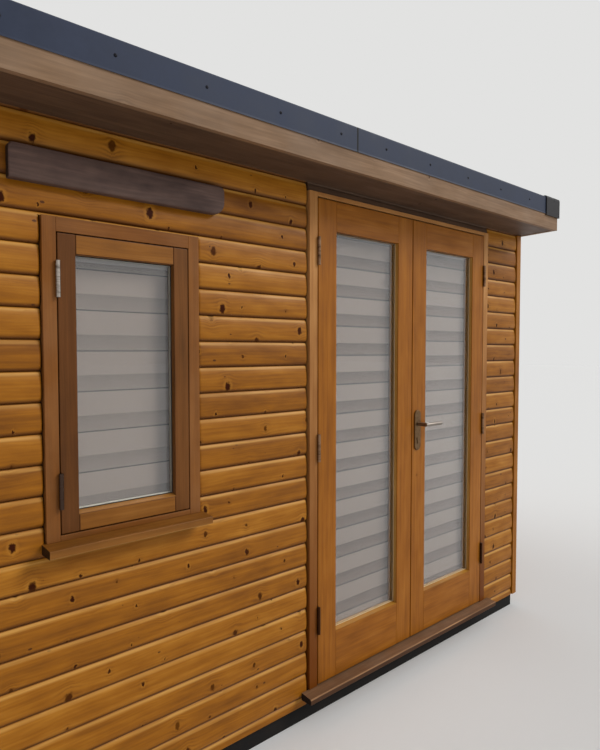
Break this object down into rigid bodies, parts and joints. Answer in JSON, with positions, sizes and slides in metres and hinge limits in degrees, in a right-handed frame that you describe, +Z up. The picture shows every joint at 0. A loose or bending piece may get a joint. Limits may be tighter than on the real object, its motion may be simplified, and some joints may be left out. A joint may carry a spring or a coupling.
{
  "type": "garden office pod",
  "caption": "Timber garden office pod with log-lap walls, a low pent roof, a casement window with a plank over it and a pair of glazed doors that open outward.",
  "frame": {"origin": "on the ground, under the middle of the roof's outline", "axes": "+X along the front to the right, +Y to the back, the doors face -Y, +Z up"},
  "size_m": [4.157, 3.074, 2.3474],
  "materials": {
    "black_base": "satin",
    "floor": "satin",
    "wall_panel": "matte",
    "log_lap": "satin",
    "corner_trim": "satin",
    "roof_panel": "matte",
    "membrane": "matte",
    "soffit": "satin",
    "fascia": "matte",
    "edge_trim": "satin",
    "trim_corner": "satin",
    "window_timber": "satin",
    "door_timber": "satin",
    "frame_timber": "satin",
    "sill_timber": "satin",
    "threshold_timber": "matte",
    "sign_timber": "matte",
    "glass": "clear",
    "hinge_steel": "satin",
    "handle_steel": "satin",
    "blind_white": "satin",
    "blind_fabric": "sheer and solid bands"
  },
  "bodies": {
    "building": {"base_bearers": "black_base", "floor_deck": "floor", "front_wall_left": "wall_panel", "front_wall_right": "wall_panel", "front_wall_over_doors": "wall_panel", "left_wall": "wall_panel", "right_wall": "wall_panel", "back_wall": "wall_panel", "front_cladding": "log_lap", "left_cladding": "log_lap", "right_cladding": "log_lap", "back_cladding": "log_lap", "corner_trims": "corner_trim", "roof_panel": "roof_panel", "roof_membrane": "membrane", "soffits": "soffit", "front_fascia": "fascia", "back_fascia": "fascia", "left_fascia": "fascia", "right_fascia": "fascia", "front_edge_trim_left": "edge_trim", "front_edge_trim_right": "edge_trim", "left_edge_trim": "edge_trim", "right_edge_trim": "edge_trim", "back_edge_trim": "edge_trim", "edge_trim_corners": "trim_corner", "window_frame": "frame_timber", "window_casement": "window_timber", "window_glass": "glass", "window_hinges": "hinge_steel", "window_sill": "sill_timber", "window_blind_cassette": "blind_white", "window_blind_fabric": "blind_fabric", "door_frame": "frame_timber", "door_threshold": "threshold_timber", "frame_hinges": "hinge_steel", "sign_board": "sign_timber"},
    "left_leaf": {"left_leaf": "door_timber", "left_glass": "glass", "left_leaf_hinges": "hinge_steel", "left_blind_cassette": "blind_white", "left_blind_fabric": "blind_fabric"},
    "right_leaf": {"right_leaf": "door_timber", "right_glass": "glass", "right_leaf_hinges": "hinge_steel", "right_blind_cassette": "blind_white", "right_blind_fabric": "blind_fabric", "handle_plates": "handle_steel"},
    "lever": {"door_lever": "handle_steel"}
  },
  "joints": [
    {"name": "left_leaf_hinge", "type": "hinge", "parent": "building", "child": "left_leaf", "pos_m": [0.4175, -1.336, 1.1], "axis": [0, 0, -1], "range_deg": [0, 100]},
    {"name": "right_leaf_hinge", "type": "hinge", "parent": "building", "child": "right_leaf", "pos_m": [1.6465, -1.336, 1.1], "axis": [0, 0, 1], "range_deg": [0, 100]},
    {"name": "lever_turn", "type": "hinge", "parent": "right_leaf", "child": "lever", "pos_m": [1.072, -1.307, 1.159], "axis": [0, 1, 0], "range_deg": [0, 40], "stiffness_Nm_per_rad": 1.5, "springref_deg": -20.05}
  ]
}
